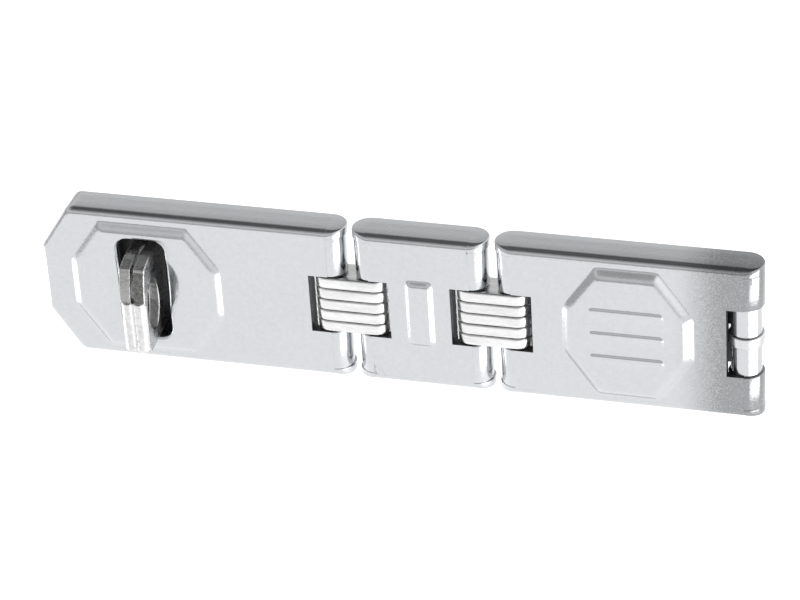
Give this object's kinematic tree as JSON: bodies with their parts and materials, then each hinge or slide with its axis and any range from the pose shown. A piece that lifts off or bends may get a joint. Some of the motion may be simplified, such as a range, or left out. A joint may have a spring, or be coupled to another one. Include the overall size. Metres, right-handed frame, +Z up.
{
  "type": "swivel hasp and staple",
  "caption": "Double-jointed steel hasp with a hinged end, a slotted swivel link and a folded staple eye for a padlock shackle.",
  "frame": {"origin": "centre of the hinge plate's four screw holes, on the surface that lies on the wood", "axes": "+X along the hasp towards the hinge, +Z up along the hinge pins, -Y out of the front; both plates are screwed to the plane Y = 0"},
  "size_m": [0.195, 0.0214, 0.045],
  "materials": {
    "plated_sheet": "bright zinc-plated pressed steel sheet, fine mottle, glossy rolled ends",
    "lamination_steel": "bright zinc-plated stamped laminations with scuffed front edges",
    "pin_steel": "bright plated turned steel",
    "galvanised_steel": "galvanised steel with sheared edges"
  },
  "bodies": {
    "hinge_plate": {"hinge_plate": "plated_sheet", "hinge_ring": "pin_steel"},
    "end_link": {"end_link": "plated_sheet", "hinge_pin": "pin_steel", "link_pin_d": "pin_steel"},
    "connector_b": {"connector_b_plate_1": "lamination_steel", "connector_b_plate_2": "lamination_steel", "connector_b_plate_3": "lamination_steel", "connector_b_plate_4": "lamination_steel", "connector_b_plate_5": "lamination_steel"},
    "middle_link": {"middle_link": "plated_sheet", "link_pin_b": "pin_steel", "link_pin_c": "pin_steel"},
    "connector_a": {"connector_a_plate_1": "lamination_steel", "connector_a_plate_2": "lamination_steel", "connector_a_plate_3": "lamination_steel", "connector_a_plate_4": "lamination_steel", "connector_a_plate_5": "lamination_steel"},
    "slotted_link": {"slotted_link": "plated_sheet", "link_pin_a": "pin_steel"},
    "staple": {"staple_plate": "galvanised_steel", "staple_eye": "galvanised_steel"}
  },
  "joints": [
    {"name": "end_hinge", "type": "hinge", "parent": "hinge_plate", "child": "end_link", "pos_m": [0.0302, -0.0051, 0], "axis": [0, 0, 1], "range_deg": [0, 170]},
    {"name": "swivel_d", "type": "hinge", "parent": "end_link", "child": "connector_b", "pos_m": [-0.0306, -0.00545, 0], "axis": [0, 0, 1], "range_deg": [-88, 88]},
    {"name": "swivel_c", "type": "hinge", "parent": "connector_b", "child": "middle_link", "pos_m": [-0.0417, -0.00545, 0], "axis": [0, 0, -1], "range_deg": [-88, 88]},
    {"name": "swivel_b", "type": "hinge", "parent": "middle_link", "child": "connector_a", "pos_m": [-0.0689, -0.00545, 0], "axis": [0, 0, 1], "range_deg": [-88, 88]},
    {"name": "swivel_a", "type": "hinge", "parent": "connector_a", "child": "slotted_link", "pos_m": [-0.08, -0.00545, 0], "axis": [0, 0, -1], "range_deg": [-88, 88]},
    {"name": "staple_withdraw", "type": "slide", "parent": "slotted_link", "child": "staple", "axis": [0, 1, 0], "range_m": [0, 0.03]}
  ]
}
